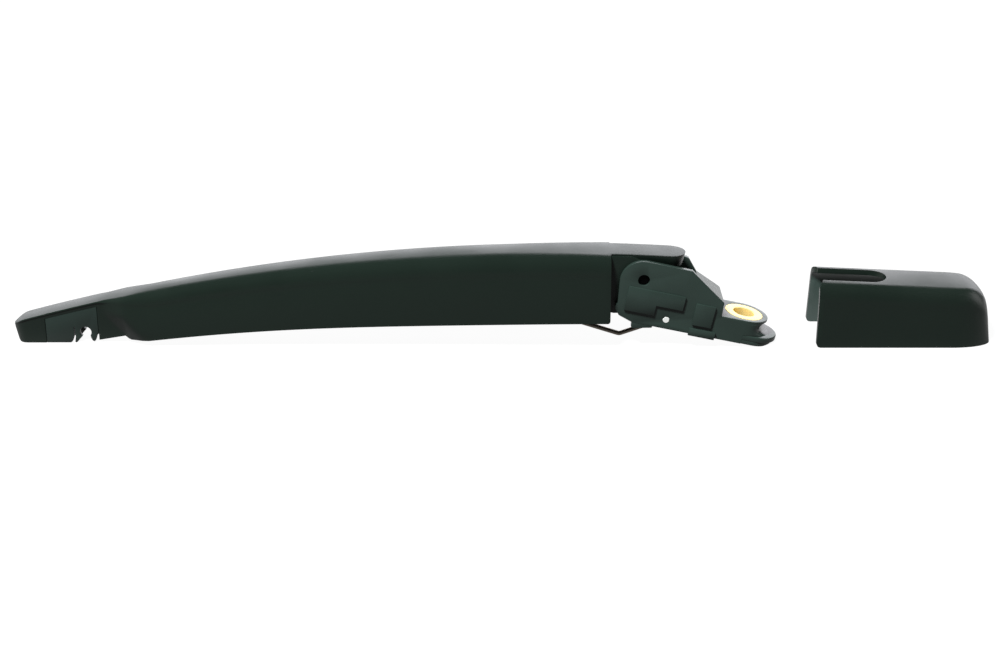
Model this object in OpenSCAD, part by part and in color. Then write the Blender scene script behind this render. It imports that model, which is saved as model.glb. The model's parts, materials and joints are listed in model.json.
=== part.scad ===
// Rear wiper arm with its hinged head, pull spring and push-on end cap.
// It stands on its tip and on the end of its head, with the cap taken off beside it.
// x runs along the arm towards the cap, y across it, z up from the surface it stands on.

/* [Arm] */
// Distance from the hinge pin to the tip of the arm
arm_reach = 260.5; // [225:0.5:320]
// Width of the arm at its open end, measured at the rim
arm_w = 28.4; // [27.5:0.1:34]
// Width of the arm where its body begins behind the tip
body_w = 19; // [16:0.1:24]
// Width of the narrow tip that carries the blade clip
nose_w = 10.4; // [9.6:0.1:13]
// Wall thickness of the channel
arm_wall = 2.2; // [1.8:0.1:2.6]
// Height of the tip's top above the surface it stands on
nose_h = 9.3; // [9:0.1:12]
// How far the arm's top lies above the hinge pin at the highest point
arm_rise = 10.7; // [9.8:0.05:11.2]
// How far the arm's rim lies below the hinge pin at the open end
arm_drop = 17.5; // [16:0.1:18.5]
// Height of the rim where the body begins
body_rim_h = 1.7; // [1:0.1:4]
// Width of the tongue that covers the head between its walls
tongue_w = 13.2; // [11:0.1:14]
// Length of the tongue past the end of the arm's side walls
tongue_len = 30.9; // [26:0.1:31.3]

/* [Blade clip] */
// Distance from the tip to the clip
clip_start = 13.6; // [11:0.1:16]
// Length of the clip along the arm
clip_len = 22; // [20:0.1:24]
// Diameter of the blade's cross pin that snaps into the clip
blade_pin_d = 4.8; // [4.5:0.05:5.4]

/* [Head] */
// Tilt of the head, down towards the spindle
head_tilt = 12; // [9:0.25:14]
// Width of the head across its walls
head_w = 20.4; // [20:0.1:21.5]
// Thickness of the head's two walls
head_wall = 2.2; // [1.8:0.05:2.3]
// Distance from the hinge pin to the spindle
spindle_x = 45.5; // [43:0.1:52]
// Diameter of the brass bush
bush_d = 16; // [15:0.1:16.4]
// Small end of the spindle's taper
spindle_d = 8.8; // [7.5:0.05:10]
// Diameter of the hinge pin
hinge_d = 4.9; // [4:0.05:5.5]
// Diameter of the pin that the spring's hook pulls on
hook_pin_d = 2.8; // [2.4:0.05:3.2]

/* [Spring] */
// Outside diameter of the coil
coil_d = 10.4; // [9:0.1:10.8]
// Thickness of the spring wire
coil_wire = 1.6; // [1.3:0.05:1.8]
// Number of turns
coil_turns = 29; // [22:1:32]
// Thickness of the hook's wire
hook_wire = 1.9; // [1.6:0.05:2.2]

/* [End cap] */
// Length of the cap
cap_len = 73; // [70:0.1:86]
// Height of the cap at its open end
cap_h = 27.2; // [26:0.1:31]
// Length of the slot in the cap's top, which takes the tongue
slot_len = 29.6; // [26:0.1:34]
// Gap between the head and the cap that lies beside it
cap_gap = 15.4; // [8:0.1:40]

/* [View] */
// Node to draw, or all of them

/* [Hidden] */
$fn = 64;
fit = 0.05;
eps = 0.1;

// End of the arm's side walls, seen from the hinge pin
shell_end = -13.5;

// Head outline, in the tilted frame that starts at the hinge pin
head_top = 8.1;
head_low = -18.9;
head_back = -9.6;
web_x0 = 18.3;
web_x1 = spindle_x - 11;
web_z1 = -2.8;
web_half = head_w / 2 - head_wall;
plat_z = -8.7;
plat_r = head_w / 2 + 0.2;
flange_x = spindle_x + 5.3;
flange_top = -15;
sole_top = -17.3;
sole_run = 8.6;
hook_px = 12.9;
hook_pz = -15;
swing_r = norm([shell_end + tongue_len, arm_rise - 1.5]) + 2.1;

// The lower edge of the head's end stands on the surface and sets the height of the hinge pin
flange_end = flange_x + head_w / 2;
hinge_z = max((spindle_x + sole_run) * sin(head_tilt) - head_low * cos(head_tilt),
    flange_end * sin(head_tilt) - sole_top * cos(head_tilt));

// Everything is centred along x between the tip and the cap's end
cap_x0 = flange_end * cos(head_tilt) + flange_top * sin(head_tilt) + cap_gap;
hinge_x = (arm_reach - cap_x0 - cap_len) / 2;
cap_w = arm_w + 2;
side_gap = 4.8;
arm_shift = (side_gap + (cap_w - arm_w) / 2) / 2;
cap_shift = side_gap - arm_shift;

// Arm curves, with x measured from the hinge pin and z from the surface
arm_top = hinge_z + arm_rise;
arc_x = -36.6;
arc_run = arm_reach + arc_x;
arc_fall = arm_top - nose_h;
arc_r = (arc_run * arc_run + arc_fall * arc_fall) / (2 * arc_fall);
rim_x = -28.6;
pocket_0 = clip_start - arm_reach;
pocket_1 = pocket_0 + clip_len;
neck_1 = pocket_1 + 11;
body_0 = neck_1 + 2.6;
rim_k = (hinge_z - arm_drop - body_rim_h) / pow(body_0 - rim_x, 2);
plate_t = 1.6;
lip = 2.4;
crown = 0.3;
pocket_fit = 0.08;

// Spring line, from the anchor pin in the arm to the hook pin in the head
anchor_x = -130;
anchor_z = hinge_z - 8.4;
anchor_d = 3;
pin_x = hook_px * cos(head_tilt) + hook_pz * sin(head_tilt);
pin_z = hinge_z - hook_px * sin(head_tilt) + hook_pz * cos(head_tilt);
pull_len = sqrt(pow(pin_x - anchor_x, 2) + pow(pin_z - anchor_z, 2));
pull_turn = atan2(anchor_z - pin_z, pin_x - anchor_x);
loop_r = (anchor_d + coil_wire) / 2 + fit;
coil_r = (coil_d - coil_wire) / 2;
eye_x = 78;
eye_r = 2.6;
coil_x0 = 7.6;
rib_t = 1.8;
coil_x1 = eye_x - eye_r - hook_wire / 2 - coil_wire - 3.4;
bend_x = 122;
bend_z = -11.4;
curl_r = 4.2;
knuckle = 0.03;

function unit(v) = v / norm(v);
function clamp(v, a, b) = min(b, max(a, v));
function ease(u) = 1 - pow(1 - clamp(u, 0, 1), 2);
function mix(a, b, u) = a + (b - a) * clamp(u, 0, 1);

// Height of the arm's top line, with the tip rounded off
function top_z(x) = arm_top - arc_r + sqrt(arc_r * arc_r - pow(x - arc_x, 2))
    - 3.4 * pow(1 - clamp((x + arm_reach) / 5, 0, 1), 2);

// Height of the arm's rim: tip, lip over the clip, neck, body
function rim_sway(u) = 0.5 * sin(360 * u) - 0.15 * sin(180 * u);
function body_rim(x) = hinge_z - arm_drop - rim_k * pow(x - rim_x, 2)
    + rim_sway(clamp((x - body_0) / (shell_end - body_0), 0, 1));
function neck_rim(x) = 1.25 + (x - pocket_1) * 0.17;
function rim_z(x) = x < pocket_0 ? 2.2 * pow(1 - clamp((x + arm_reach) / 4, 0, 1), 2)
    : x < pocket_1 ? top_z(x) - lip
    : x < neck_1 ? neck_rim(x)
    : x < body_0 ? mix(neck_rim(neck_1), body_rim(body_0), (x - neck_1) / (body_0 - neck_1))
    : body_rim(x);

// Half the arm's width at one place and height
function tip_round(x) = sqrt(max(0.02, 1 - pow(1 - clamp((x + arm_reach) / (nose_w / 2), 0, 1), 2)));
function body_half(x, u) =
    mix(body_w, arm_w, (x - body_0) / (shell_end - body_0)) / 2 - 0.4 * u - 1.6 * u * u;
function diagonal(u) = neck_1 - 9 * clamp(u * 1.4, 0, 1);
function arm_half(x, u) =
    x < pocket_1 ? nose_w / 2 * tip_round(x) - (u < 0.95 && x > -arm_reach + 1 ? 0.35 : 0)
    : mix(nose_w / 2 - 0.35 + 0.35 * u, body_half(x, u), ease((x - diagonal(u)) / 7));

// Half the clear width that the ribs of the anchor pin leave to the side walls
anchor_half = arm_half(anchor_x, 0.7) - arm_wall - 0.35;

// The rounding between side and top: how far it reaches across, and how far down
function corner(x) = x < pocket_1 ? 0.7 : mix(0.9, 5, (x - pocket_1) / 22);
function corner_drop(x) = x < pocket_1 ? 0.7 : mix(0.9, 8.4, (x - pocket_1) / 22);

// One half of a channel section from the rim to the middle of the top, as y and z
LEVELS = [0, 0.18, 0.36, 0.54, 0.72, 0.94];
function half_section(x, inset) =
    let (
        r = max(corner(x) - inset, 0.3),
        down = max(corner_drop(x) - inset, 0.3),
        z1 = top_z(x) - inset - crown,
        z0 = rim_z(x),
        w1 = arm_half(x, 1) - inset,
        rr = min(r, w1 * 0.8)
    )
    concat(
        [for (u = LEVELS) [max(0.25, arm_half(x, u) - inset), z0 + u * (z1 - down - z0)]],
        [for (a = [0:22.5:90]) [w1 - rr + rr * cos(a), z1 - down + down * sin(a)]],
        [for (u = [0.35, 0.7]) [(w1 - rr) * (1 - u), z1 + crown * (1 - pow(1 - u, 2))]],
        [[0, z1 + crown]]
    );

// A whole section from one rim over the top to the other
function section(x, inset) =
    let (h = half_section(x, inset), n = len(h))
    concat([for (i = [0:n - 1]) [x, h[i][0], h[i][1]]], [for (i = [n - 2:-1:0]) [x, -h[i][0], h[i][1]]]);

// Faces at one end of a channel: across the whole section, or round the wall only
function flip(f, on) = on ? [for (t = f) [t[2], t[1], t[0]]] : f;
function end_faces(n, i, m, shut, far) = flip(shut
    ? let (c = (n - 1) / 2) concat(
        [for (j = [0:n - 1]) if (j != c && j != c - 1) [i * n + c, i * n + (j + 1) % n, i * n + j]],
        [for (j = [0:n - 1]) if (j != c && j != c - 1)
            [(m + i) * n + c, (m + i) * n + j, (m + i) * n + (j + 1) % n]],
        [[i * n, (m + i) * n, (m + i + 1) * n - 1], [i * n, (m + i + 1) * n - 1, (i + 1) * n - 1]])
    : [for (j = [0:n - 2]) each [[i * n + j, (m + i) * n + j, (m + i) * n + j + 1],
        [i * n + j, (m + i) * n + j + 1, i * n + j + 1]]], far);

// Closed skin between a row of outer sections and a row of inner sections, each end shut or open
module channel(outer, inner, shut_0, shut_1) {
    n = len(outer[0]);
    m = len(outer);
    pts = concat([for (s = outer) each s], [for (s = inner) each s]);
    function o(i, j) = i * n + j;
    function q(i, j) = (m + i) * n + j;
    faces = concat(
        [for (i = [0:m - 2], j = [0:n - 2]) each [[o(i, j), o(i, j + 1), o(i + 1, j + 1)],
            [o(i, j), o(i + 1, j + 1), o(i + 1, j)]]],
        [for (i = [0:m - 2], j = [0:n - 2]) each [[q(i, j), q(i + 1, j + 1), q(i, j + 1)],
            [q(i, j), q(i + 1, j), q(i + 1, j + 1)]]],
        [for (i = [0:m - 2]) each [[o(i, 0), o(i + 1, 0), q(i + 1, 0)], [o(i, 0), q(i + 1, 0), q(i, 0)],
            [o(i, n - 1), q(i + 1, n - 1), o(i + 1, n - 1)], [o(i, n - 1), q(i, n - 1), q(i + 1, n - 1)]]],
        end_faces(n, 0, m, shut_0, false),
        end_faces(n, m - 1, m, shut_1, true)
    );
    polyhedron(points = pts, faces = flip(faces, true), convexity = 8);
}

// A station list with a short step where the shape changes at once
STATIONS = concat(
    [for (u = [0, 0.35, 0.9, 1.8, 3, 4.4, 6.5, 10]) u - arm_reach],
    [pocket_0 - eps, pocket_0 + eps, pocket_0 + 7.5, pocket_0 + 15, pocket_1 - eps, pocket_1 + eps],
    [for (u = [1.5:1.5:13.5]) pocket_1 + u],
    [body_0 + eps, body_0 + 2.5, body_0 + 5],
    [for (i = [1:12]) body_0 + (shell_end - body_0) * i / 12]
);

module arm_skin() {
    lo = arm_wall - arm_reach;
    channel(
        [for (x = STATIONS) section(x, 0)],
        [for (x = STATIONS)
            section(max(x, lo + 0.1 * (x - lo)), x > pocket_0 && x < pocket_1 ? plate_t : arm_wall)],
        true, false
    );
}

// Tongue that runs on from the roof over the head, with a round end
module tongue() {
    intersection() {
        translate([0, 0, arm_top - arc_r])
            translate([arc_x, 0, 0])
                side_plate(-tongue_w / 2, tongue_w / 2)
                    difference() {
                        circle(r = arc_r - 0.15, $fn = 720);
                        circle(r = arc_r - 3.1, $fn = 720);
                    }
        translate([0, 0, arm_top - 20])
            linear_extrude(height = 40)
                union() {
                    translate([shell_end - 3, -tongue_w / 2])
                        square([tongue_len + 3 - tongue_w / 2, tongue_w]);
                    translate([shell_end + tongue_len - tongue_w / 2, 0])
                        circle(d = tongue_w, $fn = 96);
                }
    }
}

// Upright rib of the arm, drawn as a side view
module side_plate(y0, y1) {
    translate([0, (y0 + y1) / 2, 0])
        rotate([90, 0, 0])
            linear_extrude(height = abs(y1 - y0), center = true)
                children();
}

module lug_outline() {
    difference() {
        union() {
            circle(r = 6.6);
            polygon([[-34, arm_rise - 1.2], [-5, arm_rise - 1.2], [-1, 6.5], [-2, -6.3], [-5.5, -15.4],
                [-12, -15.4], [-30, -11.5], [-34, -7]]);
        }
        circle(d = hinge_d + 2 * fit);
    }
}

module arm_shell() {
    color("#23292a") {
        translate([hinge_x, -arm_shift, 0]) {
            arm_skin();
            tongue();
            for (s = [-1, 1]) {
                // Hinge lugs between the walls of the head
                translate([0, 0, hinge_z])
                    side_plate(s * 5.2, s * (head_w / 2 - head_wall - 0.4))
                        lug_outline();
                // Ribs that hold the anchor pin
                translate([anchor_x, 0, anchor_z])
                    side_plate(s * (anchor_half - rib_t), s * anchor_half)
                        difference() {
                            polygon([[-5.6, top_z(anchor_x - 5.6) - 2.6 - anchor_z],
                                [5.6, top_z(anchor_x + 5.6) - 2.6 - anchor_z], [3.4, -3.4], [-3.4, -3.4]]);
                            circle(d = anchor_d + 2 * fit);
                        }
            }
        }
    }
}

// Clip that snaps on the blade's cross pin, with a spring finger on each side of the notch
module clip_outline() {
    notch = [-7.4, 4.65];
    difference() {
        polygon([[-clip_len + pocket_fit, 0], [-pocket_fit - 11.4, 0], [-11.2, 0.6], [-10.6, 1.2],
            [-9.8, 0], [-9.3, 0], [-6.2, 3.7], [-3.9, 3.7], [-3, 1.8], [-2.5, 0.8], [-2, 0.6],
            [-1.3, 1.2], [-0.9, 3.5], [-pocket_fit, 4],
            [-pocket_fit, top_z(pocket_1) - lip - 0.05],
            [-clip_len / 2, top_z(pocket_1 - clip_len / 2) - lip - 0.05],
            [-clip_len + pocket_fit, top_z(pocket_0) - lip - 0.05]]);
        translate([notch[0] + 1.9, notch[1]])
            circle(d = blade_pin_d);
        // Slit that frees the left finger
        polygon([[-11.6, -1], [-10.2, -1], [-9.55, 7], [-10.05, 7]]);
    }
}

module blade_clip() {
    color("#2c3533") {
        translate([hinge_x + pocket_1, -arm_shift, 0]) {
            for (s = [-1, 1])
                side_plate(s * 2.6, s * (nose_w / 2 - 0.4))
                    clip_outline();
            side_plate(-2.7, 2.7)
                intersection() {
                    clip_outline();
                    translate([-clip_len, 7.4])
                        square([clip_len, 20]);
                }
            side_plate(-2.7, 2.7)
                translate([-clip_len + pocket_fit, 0.4])
                    square([8, 8]);
        }
    }
}

// The head's tilted frame
module in_head() {
    translate([hinge_x, -arm_shift, hinge_z])
        rotate([0, head_tilt, 0])
            children();
}

module head_side() {
    intersection() {
        union() {
            translate([0, head_top + head_back])
                circle(r = -head_back);
            polygon([[head_back, head_top + head_back], [head_back, -13.4], [head_back + 0.8, -15.2],
                [-6.6, -16.9], [-0.5, head_low], [spindle_x, head_low], [spindle_x, plat_z],
                [web_x1 + 0.4, plat_z], [web_x1, web_z1], [web_x0, head_top], [0, head_top]]);
        }
        translate([-spindle_x, -spindle_x])
            square([3 * spindle_x, spindle_x + head_top]);
    }
}

module head_hollow() {
    difference() {
        polygon([[-20, -30], [26, -30], [29, -17], [spindle_x - plat_r - 3, -15.5],
            [spindle_x - plat_r - 2.4, -8],
            [web_x1 - 2.8, web_z1 - 0.8], [web_x0 - 0.8, head_top - 2.2], [web_x0 - 0.8, 20], [-20, 20]]);
    }
}

module pads(s) {
    side_plate(s * (head_w / 2 - 0.1), s * (head_w / 2 + 0.95)) {
        polygon([[-5.3, -3.4], [18.5, -3.4], [18.5, -9.5], [7.4, -9.5], [7.4, -13.9], [-5.3, -13.9]]);
        polygon([[23.4, -5.2], [31.6, -5.2], [31.6, -14.6], [23.6, -14.6]]);
        polygon([[23.1, -16.2], [34.1, -16.2], [34.1, head_low - 0.5], [23.1, head_low - 0.5]]);
    }
}

module head() {
    color("#303a38") {
        in_head() {
            difference() {
                union() {
                    side_plate(-head_w / 2, head_w / 2)
                        head_side();
                    // Round platform over a waisted neck
                    translate([spindle_x, 0, plat_z - 1.5])
                        cylinder(r = plat_r, h = 1.5, $fn = 96);
                    translate([spindle_x, 0, 0])
                        rotate_extrude($fn = 96)
                            polygon(concat([[0, plat_z - 1.5], [plat_r - 0.9, plat_z - 1.5]],
                                [for (a = [0:15:90])
                                    [plat_r - 0.9 - 0.08 * sin(a) + 0.4 * (1 - cos(a)),
                                        flange_top + 3.4 - 3.4 * a / 90]],
                                [[0, flange_top]]));
                    // Flange with a stepped sole under it
                    translate([flange_x, 0, sole_top])
                        cylinder(r = head_w / 2, h = flange_top - sole_top, $fn = 96);
                    translate([web_x1, -head_w / 2, sole_top])
                        cube([flange_x - web_x1, head_w, flange_top - sole_top]);
                    translate([spindle_x + 4.2, 0, head_low])
                        cylinder(r = head_w / 2, h = sole_top - head_low + 0.1, $fn = 96);
                    for (s = [-1, 1]) {
                        pads(s);
                        // Guide under each wall
                        side_plate(s * (head_w / 2 - 2), s * head_w / 2)
                            polygon([[-0.8, -18], [-0.5, head_low - 2], [0.3, head_low - 2.5],
                                [8, head_low - 0.7], [8.2, -18]]);
                    }
                }
                side_plate(head_wall - head_w / 2, head_w / 2 - head_wall)
                    head_hollow();
                // Opening that the tongue swings through
                rotate([90, 0, 0])
                    cylinder(r = swing_r, h = head_w - 2 * head_wall, center = true, $fn = 96);
                // The web runs slantwise from the near wall, and the far wall steps down beside it
                translate([0, 0, plat_z])
                    linear_extrude(height = 20)
                        polygon([[web_x0 - 5, -web_half], [web_x0 + 15.4, web_half], [web_x0 - 5, web_half]]);
                side_plate(web_half - eps, head_w / 2 + 1)
                    polygon([[web_x0 - 7.2, head_top], [web_x0 + 0.4, head_top - 1.1], [web_x0 + 15.1, plat_z],
                        [web_x1 + 0.5, plat_z], [web_x1 + 0.5, head_top + 1], [web_x0 - 7.2, head_top + 1]]);
                // The end of the sole is level with the surface that the head stands on
                rotate([0, -head_tilt, 0])
                    translate([0, -head_w, -hinge_z - 10])
                        cube([80, 2 * head_w, 10]);
                translate([spindle_x, 0, head_low - 1])
                    cylinder(d = bush_d, h = 30, $fn = 96);
                rotate([90, 0, 0])
                    cylinder(d = hinge_d, h = 40, center = true);
                translate([hook_px, 0, hook_pz])
                    rotate([90, 0, 0])
                        cylinder(d = hook_pin_d, h = 40, center = true);
            }
        }
    }
}

// Brass bush with a short straight land above the taper
module taper_bush() {
    color("#c9a227") {
        in_head()
            translate([spindle_x, 0, 0])
                rotate_extrude($fn = 96)
                    polygon([[spindle_d / 2, plat_z], [bush_d / 2, plat_z], [bush_d / 2, head_low + 0.4],
                        [spindle_d / 2 + 0.8, head_low + 0.4], [spindle_d / 2, plat_z - 4]]);
    }
}

module hinge_pin() {
    color("#3b3d3f") {
        in_head()
            rotate([90, 0, 0])
                cylinder(d = hinge_d, h = head_w - 2.6, center = true);
    }
}

module hook_pin() {
    color("#c8cacb") {
        in_head()
            translate([hook_px, 0, hook_pz])
                rotate([90, 0, 0])
                    cylinder(d = hook_pin_d, h = head_w, center = true);
    }
}

// The spring's frame, from the anchor pin along the pull line
module on_pull() {
    translate([hinge_x + anchor_x, -arm_shift, anchor_z])
        rotate([0, pull_turn, 0])
            children();
}

module spring_anchor_pin() {
    color("#8f9396") {
        translate([hinge_x + anchor_x, -arm_shift, anchor_z])
            rotate([90, 0, 0])
                cylinder(d = anchor_d, h = 2 * anchor_half, center = true);
    }
}

// Wire centre line of the spring: loop on the pin, coil, loop in the hook's eye
SEGS = 12;
coil_step = (coil_x1 - coil_x0) / (coil_turns * SEGS);
end_x = eye_x - eye_r;
end_r = (hook_wire + coil_wire) / 2 + fit;
wire_path = concat(
    [for (a = [30:30:300]) [loop_r * cos(a), 0, loop_r * sin(a)]],
    [[3, 0, -coil_r * 0.72], [coil_x0 - 1.4, 0.3, -coil_r * 0.96]],
    [for (i = [0:coil_turns * SEGS])
        [coil_x0 + i * coil_step, coil_r * sin(i * 360 / SEGS), -coil_r * cos(i * 360 / SEGS)]],
    [[coil_x1 + 1.6, coil_r * 0.62, -coil_r * 0.62], [end_x - 1.3, end_r + 0.1, -1.4]],
    [for (a = [60:-30:-150]) [end_x + end_r * cos(a), end_r * sin(a), 0]]
);

function turn_frame(u, t) = unit(u - (u * t) * t);
function tangent(p, i) = unit(p[min(i + 1, len(p) - 1)] - p[max(i - 1, 0)]);

// Round wire swept along a line of points
module wire(path, r, sides) {
    n = len(path);
    frames = [for (i = 0, u = turn_frame([0, 1, 0], tangent(path, 0)); i < n;
        i = i + 1, u = turn_frame(u, tangent(path, min(i, n - 1)))) u];
    pts = [for (i = [0:n - 1]) let (t = tangent(path, i), u = frames[i], v = cross(t, u))
        each [for (k = [0:sides - 1]) path[i] + r * cos(k * 360 / sides) * u + r * sin(k * 360 / sides) * v]];
    faces = concat(
        [for (i = [0:n - 2], k = [0:sides - 1]) let (a = i * sides + k, b = i * sides + (k + 1) % sides)
            each [[a, a + sides, b + sides], [a, b + sides, b]]],
        [for (k = [1:sides - 2])
            each [[0, k, k + 1], [(n - 1) * sides, (n - 1) * sides + k + 1, (n - 1) * sides + k]]]
    );
    polyhedron(points = pts, faces = faces, convexity = 10);
}

module tension_spring() {
    color("#5d6164") {
        on_pull()
            wire(wire_path, coil_wire / 2, 6);
    }
}

// Straight wire between two points of the side plane, with round ends
module rod(a, b, r) {
    d = [b[0] - a[0], 0, b[1] - a[1]];
    translate([a[0], 0, a[1]]) {
        rotate([0, 90 - atan2(d[2], d[0]), 0])
            cylinder(r = r, h = norm(d));
        sphere(r = r + knuckle);
    }
    translate([b[0], 0, b[1]])
        sphere(r = r + knuckle);
}

module spring_hook() {
    r = hook_wire / 2;
    curl = [pull_len - 0.45, -0.35];
    start = [curl[0] + curl_r * cos(-105), curl[1] + curl_r * sin(-105)];
    finish = [curl[0] + curl_r * cos(75), curl[1] + curl_r * sin(75)];
    color("#4a4640") {
        on_pull() {
            translate([eye_x, 0, 0])
                rotate([90, 0, 0])
                    rotate_extrude()
                        translate([eye_r, 0])
                            circle(r = r, $fn = 24);
            rod([eye_x + eye_r, 0], [bend_x, bend_z], r);
            rod([bend_x, bend_z], start, r);
            translate([curl[0], 0, curl[1]])
                rotate([90, 0, 0])
                    rotate([0, 0, -105])
                        rotate_extrude(angle = 180)
                            translate([curl_r, 0])
                                circle(r = r, $fn = 24);
            translate([finish[0], 0, finish[1]])
                sphere(r = r + knuckle);
        }
    }
}

// End cap: the same section as the arm's end, closed and rounded at its far end
cap_wall = 2.1;
cap_crown = 0.4;
cap_lean = 3;
function cap_bow(x, run) = sqrt(max(0.03, 1 - pow(clamp((x - cap_len + run) / run, 0, 1), 2)));
function cap_half(x, u) = (cap_w / 2 - 1.9 * u) * (0.5 + 0.5 * cap_bow(x, 17));
function cap_top(x) = cap_h - 0.045 * x - 8.5 * (1 - cap_bow(x, 11));
function cap_section(x, inset) =
    let (
        w1 = cap_half(x, 1) - inset,
        r = min(5 - inset * 0.7, w1 * 0.8),
        down = 8 - inset,
        z1 = cap_top(x) - inset - cap_crown
    )
    concat(
        [for (u = [0, 0.3, 0.6, 0.94]) [cap_half(x, u) - inset, u * (z1 - down)]],
        [for (a = [0:18:90]) [w1 - r + r * cos(a), z1 - down + down * sin(a)]],
        [for (u = [0.35, 0.7]) [(w1 - r) * (1 - u), z1 + cap_crown * (1 - pow(1 - u, 2))]],
        [[0, z1 + cap_crown]]
    );
function cap_ring(x, inset) =
    let (h = cap_section(x, inset), n = len(h),
        back = cap_lean * clamp((x - cap_len + 17) / 17, 0, 1) / cap_h)
    concat([for (i = [0:n - 1]) [x - back * h[i][1], h[i][0], h[i][1]]],
        [for (i = [n - 2:-1:0]) [x - back * h[i][1], -h[i][0], h[i][1]]]);

module end_cap() {
    hi = cap_len - 3.4;
    xs = concat([0, 10, 20, 30, 40],
        [for (u = [22, 17, 14, 11, 9, 7.2, 5.6, 4.2, 3, 2, 1.2, 0.6, 0.2, 0]) cap_len - u]);
    color("#262d2c") {
        translate([hinge_x + cap_x0, cap_shift, 0]) {
            difference() {
                channel([for (x = xs) cap_ring(x, 0)],
                    [for (x = xs) cap_ring(min(x, hi + 0.1 * (x - hi)), cap_wall)],
                    false, true);
                // Slot for the tongue
                translate([-1, -(tongue_w + 0.6) / 2, cap_h - 8])
                    cube([slot_len + 1 - (tongue_w + 0.6) / 2, tongue_w + 0.6, 12]);
                translate([slot_len - (tongue_w + 0.6) / 2, 0, cap_h - 8])
                    cylinder(d = tongue_w + 0.6, h = 12);
            }
        }
    }
}

head();
taper_bush();
hinge_pin();
hook_pin();
end_cap();
arm_shell();
blade_clip();
spring_anchor_pin();
tension_spring();
spring_hook();
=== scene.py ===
"""Rear wiper arm with its hinged head, pull spring and an end cap lying beside it."""

import json
import math
from types import SimpleNamespace

import bmesh
import bpy
from mathutils import Matrix, Vector


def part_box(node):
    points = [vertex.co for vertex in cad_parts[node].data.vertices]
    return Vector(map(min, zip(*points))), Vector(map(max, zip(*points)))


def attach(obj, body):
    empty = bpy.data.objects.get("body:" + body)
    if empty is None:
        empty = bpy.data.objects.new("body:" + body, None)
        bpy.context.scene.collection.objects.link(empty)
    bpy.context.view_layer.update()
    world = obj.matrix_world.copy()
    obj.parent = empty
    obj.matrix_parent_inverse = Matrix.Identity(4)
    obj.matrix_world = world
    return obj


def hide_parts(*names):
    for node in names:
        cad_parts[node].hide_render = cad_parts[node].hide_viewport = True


bl_info = {
    "name": "Rear Wiper Arm",
    "version": (1, 0, 0),
    "blender": (4, 5, 0),
    "location": "View3D > Sidebar > Wiper Arm",
    "description": "Builds the beam, head, clip, spring and end cap of a rear wiper arm",
    "category": "Add Mesh",
}

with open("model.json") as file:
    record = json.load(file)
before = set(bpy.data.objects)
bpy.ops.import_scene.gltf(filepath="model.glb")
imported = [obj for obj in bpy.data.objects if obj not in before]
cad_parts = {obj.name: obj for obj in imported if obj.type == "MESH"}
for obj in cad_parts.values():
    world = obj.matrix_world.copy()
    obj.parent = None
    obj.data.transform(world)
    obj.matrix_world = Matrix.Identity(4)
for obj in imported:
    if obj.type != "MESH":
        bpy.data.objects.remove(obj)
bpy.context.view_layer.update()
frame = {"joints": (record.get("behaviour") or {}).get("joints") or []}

MM = 1000.0  # millimetres in a metre
MERGE = 0.004  # corners of a skin this near, in millimetres, are one


def joint(name):
    return next(j for j in frame["joints"] if j["name"] == name)


HINGE = Vector(joint("arm_hinge")["pos_m"])
ANCHOR = Vector(joint("spring_swing")["pos_m"])
PULL_AXIS = Vector(joint("hook_pull")["axis"])
TIP_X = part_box("arm_shell")[0].x
CAP_LOW, CAP_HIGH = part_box("end_cap")

# Places on the head, in millimetres from the hinge pin, along the head and square to it
PLATFORM = -8.7
BUSH_LOW = -18.5
HOOK_PIN = Vector((12.9, 0, -15))
ANCHOR_R = 1.5  # radius of the spring's anchor pin
CLEAR = 0.05  # room between a pin and what turns on it


def length(name, default, note):
    """A size that a user would change, kept in metres."""
    return bpy.props.FloatProperty(
        name=name, description=note, default=default, min=0.0, unit="LENGTH", subtype="DISTANCE", precision=5
    )


def tint(name, default, note):
    """A finish's colour, kept as an sRGB hex value."""
    return bpy.props.StringProperty(name=name, description=note, default=default)


class WiperBeamSizes(bpy.types.PropertyGroup):
    reach: length("Reach", HINGE.x - TIP_X, "From the hinge pin to the tip")
    width: length("Width", 0.0284, "Width at the open end, at the rim")
    body_width: length("Body width", 0.019, "Width where the body begins behind the tip")
    nose_width: length("Nose width", 0.0104, "Width of the narrow tip")
    wall: length("Wall", 0.0022, "Thickness of the moulded wall")
    nose_height: length("Nose height", 0.0093, "Height of the tip's top above the floor")
    rise: length("Rise", 0.0107, "Highest point of the top above the hinge pin")
    drop: length("Drop", 0.0175, "Rim below the hinge pin at the open end")
    tongue_width: length("Tongue width", 0.0132, "Width of the tongue over the head")
    tongue_length: length("Tongue length", 0.0309, "Length of the tongue past the side walls")
    clip_start: length("Clip start", 0.0136, "From the tip to the clip")
    clip_length: length("Clip length", 0.022, "Length of the clip along the arm")
    blade_pin: length("Blade pin", 0.0048, "Diameter of the pin that the clip takes")


class WiperHeadSizes(bpy.types.PropertyGroup):
    tilt: bpy.props.FloatProperty(
        name="Tilt", description="Tilt of the head down towards the spindle",
        default=math.radians(12), subtype="ANGLE", unit="ROTATION",
    )
    width: length("Width", 0.0204, "Width across the two walls")
    wall: length("Wall", 0.0022, "Thickness of each wall")
    spindle: length("Spindle", 0.0455, "From the hinge pin to the spindle's axis")
    bush: length("Bush", 0.016, "Outside diameter of the brass bush")
    bore: length("Bore", 0.0088, "Diameter of the bush's hole")
    hinge_pin: length("Hinge pin", 0.0049, "Diameter of the hinge pin")
    hook_pin: length("Hook pin", 0.0028, "Diameter of the pin that the hook pulls on")


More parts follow.
